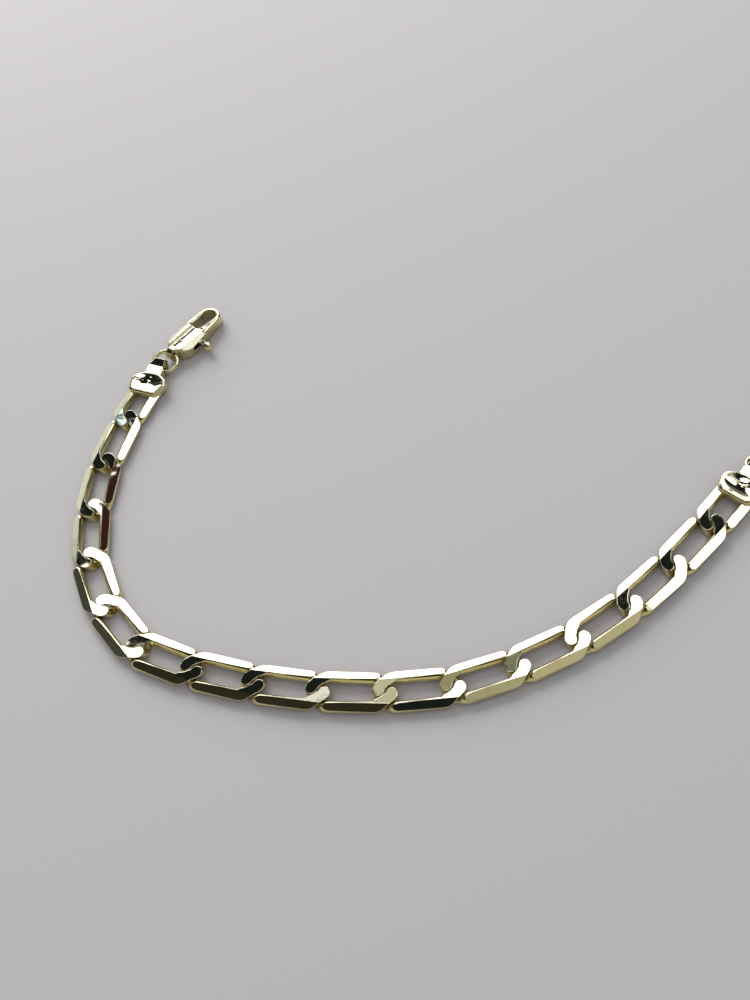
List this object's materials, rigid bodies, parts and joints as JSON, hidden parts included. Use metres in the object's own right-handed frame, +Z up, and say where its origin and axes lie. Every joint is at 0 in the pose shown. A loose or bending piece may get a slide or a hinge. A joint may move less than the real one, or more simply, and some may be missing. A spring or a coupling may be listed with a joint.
{
  "type": "link bracelet",
  "caption": "Elongated curb link bracelet with ground facets, cast end caps, a lobster clasp and a plain end ring, laid out open.",
  "frame": {"origin": "under the middle of the box round the whole bracelet as it lies, on the surface that it rests on", "axes": "+Z up from the surface; +X to the right and +Y away from the viewer as the bracelet lies in the picture, with the clasp towards -X +Y"},
  "size_m": [0.1054, 0.0766, 0.0026],
  "materials": {
    "gold": "mirror polished pale yellow gold",
    "gold_cast": "polished pale yellow gold casting",
    "gold_wire": "polished pale yellow gold wire"
  },
  "bodies": {
    "bracelet": {"end_link_clasp": "gold", "link_02": "gold", "link_03": "gold", "link_04": "gold", "link_05": "gold", "link_06": "gold", "link_07": "gold", "link_08": "gold", "link_09": "gold", "link_10": "gold", "link_11": "gold", "link_12": "gold", "link_13": "gold", "link_14": "gold", "link_15": "gold", "link_16": "gold", "end_link_ring": "gold", "jump_ring": "gold_wire", "end_ring": "gold_wire", "clasp_body": "gold_cast", "clasp_pin": "gold_wire"},
    "lever": {"clasp_lever": "gold_cast"}
  },
  "joints": [
    {"name": "lever_hinge", "type": "hinge", "parent": "bracelet", "child": "lever", "pos_m": [-0.03818, 0.03237, 0.00125], "axis": [0, 0, 1], "range_deg": [-20, 0], "stiffness_Nm_per_rad": 0.002}
  ]
}
